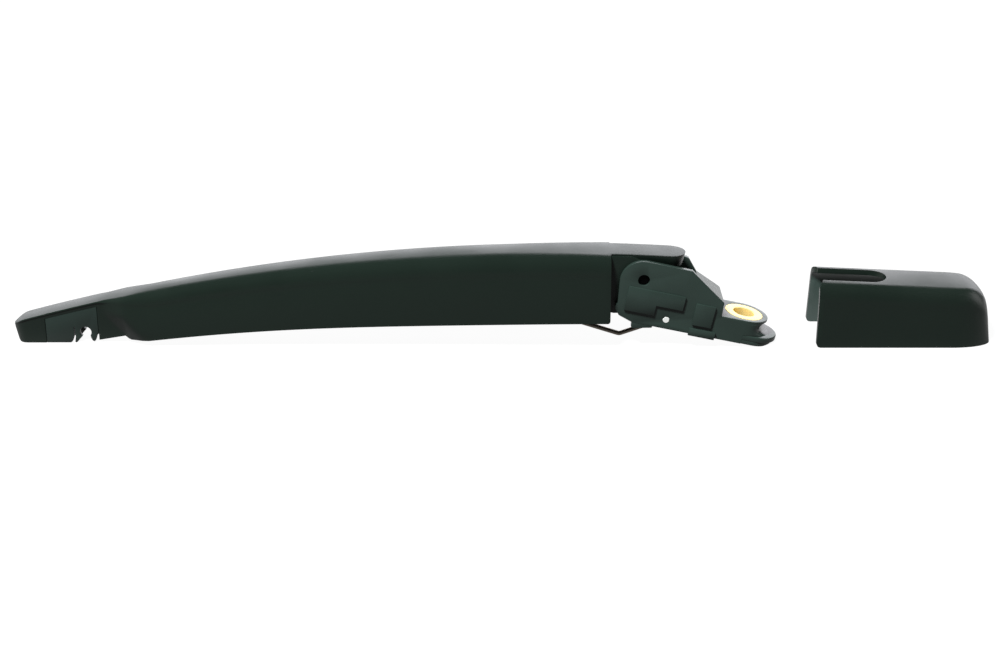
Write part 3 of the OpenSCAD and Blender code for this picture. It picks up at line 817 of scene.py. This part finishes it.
class WIPER_OT_head(bpy.types.Operator):
    """Die-cast fork with its web, platform, neck and flange"""

    bl_idname = "wiper.head"
    bl_label = "Hinge head"

    TOP, LOW, BACK = 8.1, -18.9, -9.6
    WEB_0, WEB_LOW = 18.3, -2.8
    FLANGE, SOLE = -15.0, -17.3
    SHELF = PLATFORM - 1.0  # underside of the round slab that the bush sits in
    DROP = 0.03  # how far the web and the block lie inside the walls' faces
    PADS = (
        [(-5.3, -3.4), (18.5, -3.4), (18.5, -9.5), (7.4, -9.5), (7.4, -13.9), (-5.3, -13.9)],
        [(23.4, -5.2), (31.6, -5.2), (31.6, -14.6), (23.6, -14.6)],
        [(23.1, -16.2), (34.1, -16.2), (34.1, -19.4), (23.1, -19.4)],
    )

    def neck(self, x, half):
        """Block under the platform: flush with the head's sides, waisted at its end."""
        across, along = 36, 16
        high, low = self.SHELF, self.FLANGE - 0.1

        def place(column, row):
            turn = math.radians(-90 + 180 * column / across)
            share = row / along
            waist = math.sin(math.pi * share) ** 0.6
            power = 2 / (2 + 0.9 * waist)
            reach = half + 2.2 * share ** 3 - 3.0 * waist
            side = math.copysign(abs(math.sin(turn)) ** power, turn)
            return Vector((x + reach * max(0.0, math.cos(turn)) ** power, half * side, mix(high, low, share)))

        bm = draped(across, along, place)[0]
        face_out(bm, near=1e-4)
        return bm

    def disc(self, x, x0, radius, low, high, edge, bore, where=None):
        """Round-ended slab with a bore: straight from x0 and a half circle round x."""
        plan = [(x0, -radius)] + arc(x, 0, radius, -90, 90, 36) + [(x0, radius)]
        bm = plate(plan, low, high, [bore], edge=0)
        bmesh.ops.transform(bm, matrix=Matrix(((1, 0, 0, 0), (0, 0, 1, 0), (0, 1, 0, 0), (0, 0, 0, 1))),
                            verts=bm.verts[:])
        face_out(bm)
        soften(bm, edge, segments=3, where=where)
        return bm

    def execute(self, context):
        s = sizes(context.scene.wiper_head)
        half = s.width / 2
        web_1 = s.spindle - 11
        step = web_1 + 0.4
        pins = [(0, 0, s.hinge_pin / 2), (HOOK_PIN.x, HOOK_PIN.z, s.hook_pin / 2)]
        near = [(self.WEB_0, self.TOP, 0.5), (web_1, self.WEB_LOW, 0.5), (step, PLATFORM + 0.1),
                (step, self.SHELF)]
        far = [(self.WEB_0 - 7.2, self.TOP, 2), (self.WEB_0 + 0.4, self.TOP - 1.1, 1),
               (self.WEB_0 + 15.1, self.SHELF)]
        foot = [(s.spindle, self.SHELF), (s.spindle, self.LOW), (-0.5, self.LOW, 0.8), (-6.6, -16.9, 1.2),
                (self.BACK, -13.2, 1.8)]
        back = arc(0, self.TOP + self.BACK, -self.BACK, 90, 180, 14)
        lug = rounded([(-0.8, -18), (-0.5, self.LOW - 2, 0.4), (0.3, self.LOW - 2.5, 0.4),
                       (8, self.LOW - 0.7, 0.5), (8.2, -18)])

        def outer_edge(e):
            return any(v.co.x < s.spindle - 1e-3 for v in e.verts) and not all(
                abs(v.co.z - self.SHELF) < 1e-3 for v in e.verts)

        shapes = []
        for side, brow in ((-1, near), (1, far)):
            outline = back + rounded((brow + foot)[::-1])
            inner, outer = side * (half - s.wall), side * half
            shapes.append(plate(outline, inner, outer, pins, edge=0.22, where=outer_edge))
            for pad in self.PADS:
                shapes.append(plate(pad, side * (half - 0.3), side * (half + 0.95), edge=0.15))
            shapes.append(plate(lug, side * (half - s.wall + 0.2), side * (half - 0.05), edge=0.3))

        block_0, bore_0, low = 32.6, s.spindle - s.bush / 2 - 0.1, self.LOW + self.DROP
        block = [(step - self.DROP, self.SHELF), (bore_0, self.SHELF), (bore_0, low), (28.6, low), (29, -17),
                 (32.1, -15.5), (block_0, self.SHELF)]
        shapes.append(plate(block, self.DROP - half, half - self.DROP, edge=0))

        under = self.SHELF - self.DROP
        rib = [(web_1, self.WEB_LOW - self.DROP), (step - self.DROP, under), (block_0, under), (31.7, -3.6)]
        rib += arc(0, 0, 21.8, 10, 15.6, 4)
        web = plate(rib, self.DROP - half, half - s.wall - self.DROP, edge=0)
        across = half - s.wall
        start, end = Vector((self.WEB_0 - 5.0, -across, 0)), Vector((self.WEB_0 + 15.4, across, 0))
        shapes.append(cut_away(web, start, (end - start).cross(Vector((0, 0, -1)))))

        def upper_edge(e):
            return all(abs(v.co.z - PLATFORM) < 1e-3 for v in e.verts)

        bore = (s.spindle, 0, s.bush / 2 + 0.02)
        shapes.append(self.disc(s.spindle, step, half, self.SHELF, PLATFORM, 0.2, bore, upper_edge))
        shapes.append(self.neck(s.spindle, half))
        shapes.append(self.disc(s.spindle + 5.3, web_1, half - 0.02, self.SOLE, self.FLANGE, 0.45, bore))
        sole = self.disc(s.spindle + 4.2, 32.4, half - 0.02, self.LOW, self.SOLE + 0.1, 0.3, bore)
        down = head_turn().inverted() @ Vector((0, 0, -1))
        shapes.append(cut_away(sole, down * HINGE.z * MM, down))  # level with the floor that it stands on
        piece("hinge_head", joined(shapes), "head", finish("Zinc casting, black dip coat"),
              "head", turn=head_turn().to_4x4())
        return {"FINISHED"}


class WIPER_OT_bush(bpy.types.Operator):
    """Turned brass bush with a tapered bore"""

    bl_idname = "wiper.bush"
    bl_label = "Taper bush"

    def execute(self, context):
        s = sizes(context.scene.wiper_head)
        r, b, top, low = s.bush / 2, s.bore / 2, PLATFORM + 0.05, BUSH_LOW
        c = 0.3  # chamfer
        taper, land = 0.8, 4.0  # how far the bore opens downwards, and from which depth
        profile = [(b + c, top), (r - 0.15, top), (r, top - 0.15), (r, low + c), (r - c, low),
                   (b + taper + c, low), (b + taper, low + c), (b, PLATFORM - land), (b, top - c)]
        bm = turned(profile, 96)
        soften(bm, 0.06, degrees=25)
        bmesh.ops.translate(bm, verts=bm.verts[:], vec=(s.spindle, 0, 0))
        piece("spindle_bush", bm, "head", finish("Brass, turned"), "taper_bush",
              turn=head_turn().to_4x4())
        return {"FINISHED"}


class WIPER_OT_pins(bpy.types.Operator):
    """Hinge pin, hook pin and anchor pin"""

    bl_idname = "wiper.pins"
    bl_label = "Pins"

    def execute(self, context):
        s = sizes(context.scene.wiper_head)
        turn = head_turn().to_4x4()
        piece("pivot_pin", rod(s.hinge_pin / 2, s.width - 2.6, 0.35), "head",
              finish("Steel, black oxide"), "hinge_pin", turn=turn)
        stud = rod(s.hook_pin / 2, s.width + 0.1, 0.2)
        bmesh.ops.translate(stud, verts=stud.verts[:], vec=HOOK_PIN)
        piece("hook_stud", stud, "head", finish("Steel, bright turned"), "hook_pin",
              turn=turn)
        piece("anchor_rod", rod(ANCHOR_R, 14.8, 0.25), "arm", finish("Steel, bright turned"),
              "spring_anchor_pin", origin=ANCHOR)
        return {"FINISHED"}


def pull_turn():
    """The spring's frame, with x along the pull line."""
    return Matrix.Rotation(math.atan2(-PULL_AXIS.z, PULL_AXIS.x), 4, "Y")


class WIPER_OT_spring(bpy.types.Operator):
    """Coiled pull spring and the bent wire hook that it holds"""

    bl_idname = "wiper.spring"
    bl_label = "Spring and hook"

    EYE_X, EYE_R = 78.0, 2.6  # the hook's eye, which the coil's last loop holds
    START = 7.6  # where the coil begins, from the anchor pin
    LAST_LOOP = 3.4  # run of the last loop between the coil and the eye
    LOW_BEND = (122.0, -11.4, 2.2)  # lowest bend of the hook and its radius
    CURL, CURL_R = Vector((-0.45, 0, -0.35)), 4.2  # middle of the hook's curl, from the hook pin

    def execute(self, context):
        s = sizes(context.scene.wiper_spring)
        coil_r = (s.coil - s.wire) / 2
        stop = self.EYE_X - self.EYE_R - s.hook_wire / 2 - s.wire - self.LAST_LOOP
        path = upright(arc(0, 0, ANCHOR_R + s.wire / 2 + CLEAR, 18, 288, 15))
        path += [(3, 0.05, -coil_r * 0.72), (4.6, 0.15, -coil_r * 0.9), (6.2, 0.2, -coil_r * 0.98)]
        steps = 18
        for k in range(s.turns * steps + 1):
            a = math.tau * k / steps
            path.append((self.START + (stop - self.START) * k / (s.turns * steps), coil_r * math.sin(a),
                         -coil_r * math.cos(a)))
        end_x, end_r = self.EYE_X - self.EYE_R, (s.hook_wire + s.wire) / 2 + CLEAR
        path += [(stop + 0.9, coil_r * 0.42, -coil_r * 0.86), (stop + 1.7, coil_r * 0.62, -coil_r * 0.6),
                 (end_x - 1.5, end_r + 0.2, -1.2)]
        path += [(x, y, 0) for x, y in arc(end_x, 0, end_r, 75, -150, 15)]
        spring = swept_wire(path, s.wire / 2, 10)
        piece("pull_spring", spring, "spring", finish("Spring steel, phosphated"),
              "tension_spring", origin=ANCHOR, turn=pull_turn(), crease=60)
        self.hook(s)
        return {"FINISHED"}

    def hook(self, s):
        """Wire from the eye in the spring, down past the rim in a V and up round the hook pin."""
        pull = (HINGE + head_turn() @ HOOK_PIN / MM - ANCHOR).length * MM
        middle = Vector((pull, 0, 0)) + self.CURL
        eye = arc(self.EYE_X, 0, self.EYE_R, 18, 342, 18)
        start = arc(middle.x, middle.z, self.CURL_R, -105, -105, 1)[0]
        line = rounded([(self.EYE_X + self.EYE_R, 0, 0.0001), self.LOW_BEND, (*start, 1.6),
                        (middle.x + self.CURL_R, middle.z, 0.0001)], 6)
        bends = line[7:21]  # the two middle corners, with seven points each
        curl = arc(middle.x, middle.z, self.CURL_R, -90, 75, 11)
        bm = swept_wire(upright(eye + bends + curl), s.hook_wire / 2, 16)
        piece("pull_hook", bm, "hook", finish("Steel wire, drawn"), "spring_hook",
              origin=ANCHOR, turn=pull_turn(), crease=60)


class WIPER_OT_cap(bpy.types.Operator):
    """End cap with its slot, lying beside the head"""

    bl_idname = "wiper.cap"
    bl_label = "End cap"

    CORNER, CORNER_DROP = 5.0, 8.0  # rounding between side and roof: its reach across and down
    CROWN = 0.4  # rise of the roof between its corners
    DRAFT = 1.9  # how far the sides lean in
    SLOPE = 0.045  # fall of the roof towards the closed end
    PLAN_RUN, ROOF_RUN, ROOF_FALL = 17.0, 11.0, 8.5  # rounding of the closed end
    LEAN, RAKE = 3.0, 0.5  # how far the closed end and the open end lean at the top
    END_ROUND = 1.8  # rounding of the open end's corners
    PANEL = (7.2, 17.6, 2.0, 20.5)  # raised panel inside: from and to, below and above
    PANEL_HOLE = (12, 17.6, 1.3)

    def execute(self, context):
        s = sizes(context.scene.wiper_cap)
        span, high, slot_r = s.span, s.height, s.slot_width / 2
        round_0 = span - self.PLAN_RUN

        def bow(x, run):
            return math.sqrt(max(0.0, 1 - clamp((x - span + run) / run) ** 2))

        def half(x, u):
            return (s.width / 2 - self.DRAFT * u) * (0.5 + 0.5 * bow(x, self.PLAN_RUN))

        def top(x):
            return high - self.SLOPE * x - self.ROOF_FALL * (1 - bow(x, self.ROOF_RUN)) - self.CROWN

        flat_0 = half(0, 1) - self.CORNER
        share = slot_r / flat_0
        side = [0, 0.01, 0.025, 0.045, 0.07, 0.1, 0.16, 0.25, 0.4, 0.55, 0.7, 0.85, 1.0]
        halves = [("side", u) for u in side] + [("bend", 9 * k) for k in range(1, 11)]
        halves += [("flat", mix(1, share, k / 2)) for k in range(1, 3)]
        halves += [("flat", share * math.cos(math.radians(10 * k))) for k in range(1, 10)]
        columns = both_sides(halves)
        slot_row, body_rows, end_rows = 10, 18, 18
        last = slot_row + body_rows + end_rows
        slot_c = s.slot - slot_r

        def section(kind, value, sign, x, wall):
            """A point of the section at x; with a wall, of the section inside it."""
            wide = half(x, 1) - wall
            r = max(0.0, min(self.CORNER - 0.7 * wall, wide * 0.8))
            down = self.CORNER_DROP - wall
            roof = top(x) - wall
            if kind == "side":
                return sign * (half(x, value) - wall), value * (roof - down)
            if kind == "bend":
                out, z = corner_point(wide, roof, r, down, value)
                return sign * out, z
            return sign * value * (wide - r), roof + self.CROWN * (1 - value ** 2)

        def front(kind, value, sign):
            """Where the open end starts: rounded at the rim and at the roof."""
            z = section(kind, value, sign, 0, 0)[1]
            return rounding(min(z, top(0) - z), self.END_ROUND)

        def place(column, row, wall=0.0):
            kind, value, sign = columns[column]
            inside = kind == "flat" and value <= share + 1e-6
            slot_end = slot_c + (math.sqrt(max(0, slot_r ** 2 - (value * flat_0) ** 2)) if inside else 0)
            if row <= slot_row:
                x = mix(front(kind, value, sign), slot_end if row == slot_row else slot_c, row / slot_row)
            elif row <= slot_row + body_rows:
                x = mix(slot_end, round_0, (row - slot_row) / body_rows)
            else:
                turn = math.pi / 2 * (row - slot_row - body_rows) / end_rows
                x = round_0 + self.PLAN_RUN * math.sin(turn)
            if wall:
                stop = span - wall - 1.3
                x = min(x, stop + 0.1 * (x - stop))
            y, z = section(kind, value, sign, x, wall)
            back = self.LEAN * clamp((x - round_0) / self.PLAN_RUN) - self.RAKE * clamp(1 - x / 20)
            return Vector((x - back * z / high, y, z))

        bm, column_of, row_of = draped(len(columns) - 1, last, place)
        doomed = [f for f in bm.faces if min(v[row_of] for v in f.verts) < slot_row and all(
            columns[v[column_of]][0] == "flat" and columns[v[column_of]][1] <= share + 1e-6 for v in f.verts)]
        bmesh.ops.delete(bm, geom=doomed, context="FACES")
        far = [e for e in bm.edges if e.is_boundary and all(v[row_of] == last for v in e.verts)]
        ends = [v for v in bm.verts if v[row_of] == last and v[column_of] in {0, len(columns) - 1}]
        bmesh.ops.edgeloop_fill(bm, edges=far + [bm.edges.new(ends)])
        # The inner skin takes the core-side finish, whose lighter colour is painted light falling into the
        # cap
        lined(bm, lambda v: place(v[column_of], v[row_of], s.wall), 0.3, inside=1)
        inner = half(0, 0.6) - s.wall
        x0, x1, low, above = self.PANEL
        panel = rounded([(x0, low), (x1, low), (x1, above, 0.5), (x0, above, 0.5)])
        raised = plate(panel, inner - 0.9, inner + 1.2, [self.PANEL_HOLE], edge=0.2)
        # The inner panel takes the same painted-lighter core-side finish
        for face in raised.faces:
            face.material_index = 1
        cap = piece("slip_cap", joined([bm, raised]), "head", finish(BEAM_FINISH), "end_cap",
                    origin=Vector((CAP_LOW.x, (CAP_LOW.y + CAP_HIGH.y) / 2, 0)))
        cap.data.materials.append(finish(CORE_SIDE_PAINTED_LIGHT_FINISH))
        return {"FINISHED"}


class WIPER_OT_stage(bpy.types.Operator):
    """Studio floor, lamps, world and camera"""

    bl_idname = "wiper.stage"
    bl_label = "Stage"

    TARGET = Vector((HINGE.x - 0.0586, HINGE.y + 0.0043, 0.0002))
    ELEVATION = math.radians(23)
    DISTANCE = 0.78
    LENS, SENSOR = 66.85, 36.0
    # what gloss sees of the floor: dark in front of the part, white from its middle plane backwards
    SHADE = {"From Min": -0.02, "From Max": 0.02, "To Min": 0.05, "To Max": 0.9}
    # name, place, aim, size, light that its face gives off where 1 is white, colour, whether gloss shows it
    LAMPS = (
        ("back_wall", (0.05, 1.25, 0.62), (0.05, 0, 0.62), (3.2, 1.22), 2.5, (0.96, 0.96, 1.0), True),
        ("key_left", (-0.41, -0.58, 1.18), (0.02, 0, 0), (0.26, 0.26), 290.0, (1, 1, 1), False),
        ("right_wall", (0.85, -0.12, 0.3), (0.16, 0, 0), (0.5, 0.5), 1.8, (1, 1, 1), True),
        ("left_wall", (-0.9, -0.12, 0.3), (-0.2, 0, 0), (0.4, 0.4), 1.2, (1, 1, 1), True),
    )

    def lamp(self, name, place, aim, size, strength, colour, mirrored):
        light = bpy.data.lights.new(name, "AREA")
        light.shape = "RECTANGLE"
        light.size, light.size_y = size
        light.energy = strength * size[0] * size[1] * math.pi
        light.color = colour
        obj = linked(name, light)
        obj.visible_glossy = mirrored
        obj.location = place
        obj.rotation_euler = (Vector(aim) - Vector(place)).to_track_quat("-Z", "Y").to_euler()

    def seen(self, tree, ray):
        """1 for rays from the camera, also through glass, and 0 for all others."""
        rays = {0: ray.outputs["Is Camera Ray"], 1: ray.outputs["Is Transmission Ray"]}
        return node(tree, "ShaderNodeMath", rays, operation="MAXIMUM").outputs[0]

    def floor(self, scene):
        """White paper that keeps the part's shadow."""
        bm = bmesh.new()
        bmesh.ops.create_grid(bm, x_segments=2, y_segments=2, size=6)
        material, tree = blank("Paper, white matt")
        floor = solid("studio_floor", bm, material)
        ray = node(tree, "ShaderNodeLightPath")
        place = node(tree, "ShaderNodeSeparateXYZ", {0: node(tree, "ShaderNodeTexCoord").outputs["Object"]})
        share = node(tree, "ShaderNodeMapRange", {"Value": place.outputs["Y"], **self.SHADE})
        mirrored = node(tree, "ShaderNodeMath", {0: ray.outputs["Is Glossy Ray"], 1: share.outputs["Result"]},
                        operation="MULTIPLY")
        lift = node(tree, "ShaderNodeMath", {0: self.seen(tree, ray), 1: mirrored.outputs[0]},
                    operation="MAXIMUM")
        glow = node(tree, "ShaderNodeEmission", {"Strength": lift.outputs[0], "Color": hex_colour("#fafafa")})
        paper = node(tree, "ShaderNodeBsdfDiffuse", {"Color": hex_colour(scene.wiper_finishes.floor)})
        both = node(tree, "ShaderNodeAddShader", {0: glow.outputs[0], 1: paper.outputs[0]})
        node(tree, "ShaderNodeOutputMaterial", {"Surface": both.outputs[0]})

    def world(self, scene):
        """White to the camera, and nearly dark to all other rays, which the lamps serve."""
        scene.world = bpy.data.worlds.new("studio")
        scene.world.use_nodes = True
        tree = scene.world.node_tree
        tree.nodes.clear()
        seen = self.seen(tree, node(tree, "ShaderNodeLightPath"))
        level = node(tree, "ShaderNodeMapRange", {"Value": seen, "To Min": 0.05, "To Max": 1.0})
        sky = node(tree, "ShaderNodeBackground", {"Strength": level.outputs["Result"]})
        node(tree, "ShaderNodeOutputWorld", {"Surface": sky.outputs[0]})

    def camera(self, scene):
        view = bpy.data.cameras.new("photo_view")
        view.lens, view.sensor_width = self.LENS, self.SENSOR
        view.clip_start, view.clip_end = 0.01, 50
        camera = linked("photo_view", view)
        away = Vector((0, -math.cos(self.ELEVATION), math.sin(self.ELEVATION)))
        camera.location = self.TARGET + self.DISTANCE * away
        camera.rotation_euler = (math.pi / 2 - self.ELEVATION, 0, 0)
        scene.camera = camera

    def execute(self, context):
        scene = context.scene
        self.floor(scene)
        self.world(scene)
        for lamp in self.LAMPS:
            self.lamp(*lamp)
        self.camera(scene)
        scene.view_settings.view_transform = "Standard"
        return {"FINISHED"}


class WIPER_PT_panel(bpy.types.Panel):
    """Sizes and build buttons of the wiper arm"""

    bl_label = "Wiper Arm"
    bl_idname = "WIPER_PT_panel"
    bl_space_type = "VIEW_3D"
    bl_region_type = "UI"
    bl_category = "Wiper Arm"

    def draw(self, context):
        for title, group in GROUPS.items():
            box = self.layout.box()
            box.label(text=title.replace("wiper_", "").capitalize())
            for key in group.__annotations__:
                box.prop(getattr(context.scene, title), key)
        for operator in OPERATORS:
            self.layout.operator(operator.bl_idname)


GROUPS = {
    "wiper_beam": WiperBeamSizes,
    "wiper_head": WiperHeadSizes,
    "wiper_spring": WiperSpringSizes,
    "wiper_cap": WiperCapSizes,
    "wiper_finishes": WiperFinishes,
}
OPERATORS = (WIPER_OT_stage, WIPER_OT_beam, WIPER_OT_clip, WIPER_OT_head, WIPER_OT_bush, WIPER_OT_pins,
             WIPER_OT_spring, WIPER_OT_cap)


def register():
    for cls in (*GROUPS.values(), *OPERATORS, WIPER_PT_panel):
        bpy.utils.register_class(cls)
    for name, group in GROUPS.items():
        setattr(bpy.types.Scene, name, bpy.props.PointerProperty(type=group))


def unregister():
    for name in GROUPS:
        delattr(bpy.types.Scene, name)
    for cls in reversed((*GROUPS.values(), *OPERATORS, WIPER_PT_panel)):
        bpy.utils.unregister_class(cls)


def main():
    register()
    for operator in OPERATORS:
        family, action = operator.bl_idname.split(".")
        getattr(getattr(bpy.ops, family), action)()


if __name__ == "__main__":
    main()
